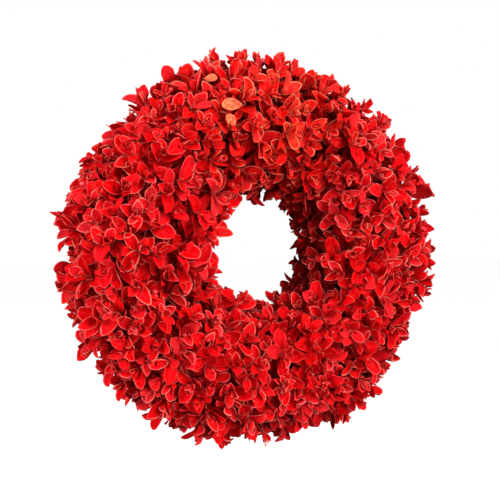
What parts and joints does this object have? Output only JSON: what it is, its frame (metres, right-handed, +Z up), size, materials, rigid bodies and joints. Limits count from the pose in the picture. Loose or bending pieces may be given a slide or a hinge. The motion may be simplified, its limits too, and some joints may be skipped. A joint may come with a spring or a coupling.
{
  "type": "door wreath",
  "caption": "Plump ring wreath of red preserved foliage on a bound straw core, with a flat back and a swinging wire hanger loop.",
  "frame": {"origin": "middle of the ring, on its axis and half way through its depth", "axes": "+Z up as the wreath hangs; the ring's axis is Y, with the leafy front facing -Y and the flat back facing +Y; +X is to the right seen from the front"},
  "size_m": [0.374, 0.112, 0.374],
  "materials": {
    "red_foliage": "matte dyed leaf, slightly powdery, paler at the rims",
    "straw": "dry straw, matt",
    "steel_wire": "galvanised wire",
    "green_wire": "green lacquered florist's wire"
  },
  "bodies": {
    "wreath": {"core_ring": "steel_wire", "straw_bundle_1": "straw", "straw_bundle_2": "straw", "straw_bundle_3": "straw", "straw_bundle_4": "straw", "straw_bundle_5": "straw", "straw_bundle_6": "straw", "binding_wire": "green_wire", "hanger_strap": "steel_wire", "outer_bunch_01": "red_foliage", "outer_bunch_02": "red_foliage", "outer_bunch_03": "red_foliage", "outer_bunch_04": "red_foliage", "outer_bunch_05": "red_foliage", "outer_bunch_06": "red_foliage", "outer_bunch_07": "red_foliage", "outer_bunch_08": "red_foliage", "outer_bunch_09": "red_foliage", "outer_bunch_10": "red_foliage", "outer_bunch_11": "red_foliage", "outer_bunch_12": "red_foliage", "front_bunch_01": "red_foliage", "front_bunch_02": "red_foliage", "front_bunch_03": "red_foliage", "front_bunch_04": "red_foliage", "front_bunch_05": "red_foliage", "front_bunch_06": "red_foliage", "front_bunch_07": "red_foliage", "front_bunch_08": "red_foliage", "front_bunch_09": "red_foliage", "front_bunch_10": "red_foliage", "front_bunch_11": "red_foliage", "front_bunch_12": "red_foliage", "inner_bunch_01": "red_foliage", "inner_bunch_02": "red_foliage", "inner_bunch_03": "red_foliage", "inner_bunch_04": "red_foliage", "inner_bunch_05": "red_foliage", "inner_bunch_06": "red_foliage", "inner_bunch_07": "red_foliage", "inner_bunch_08": "red_foliage", "inner_bunch_09": "red_foliage", "inner_bunch_10": "red_foliage", "inner_bunch_11": "red_foliage", "inner_bunch_12": "red_foliage"},
    "hanger": {"hanger_loop": "steel_wire"}
  },
  "joints": [
    {"name": "hanger_swing", "type": "hinge", "parent": "wreath", "child": "hanger", "pos_m": [0, 0.0512, 0.152], "axis": [-1, 0, 0], "range_deg": [0, 155]}
  ]
}
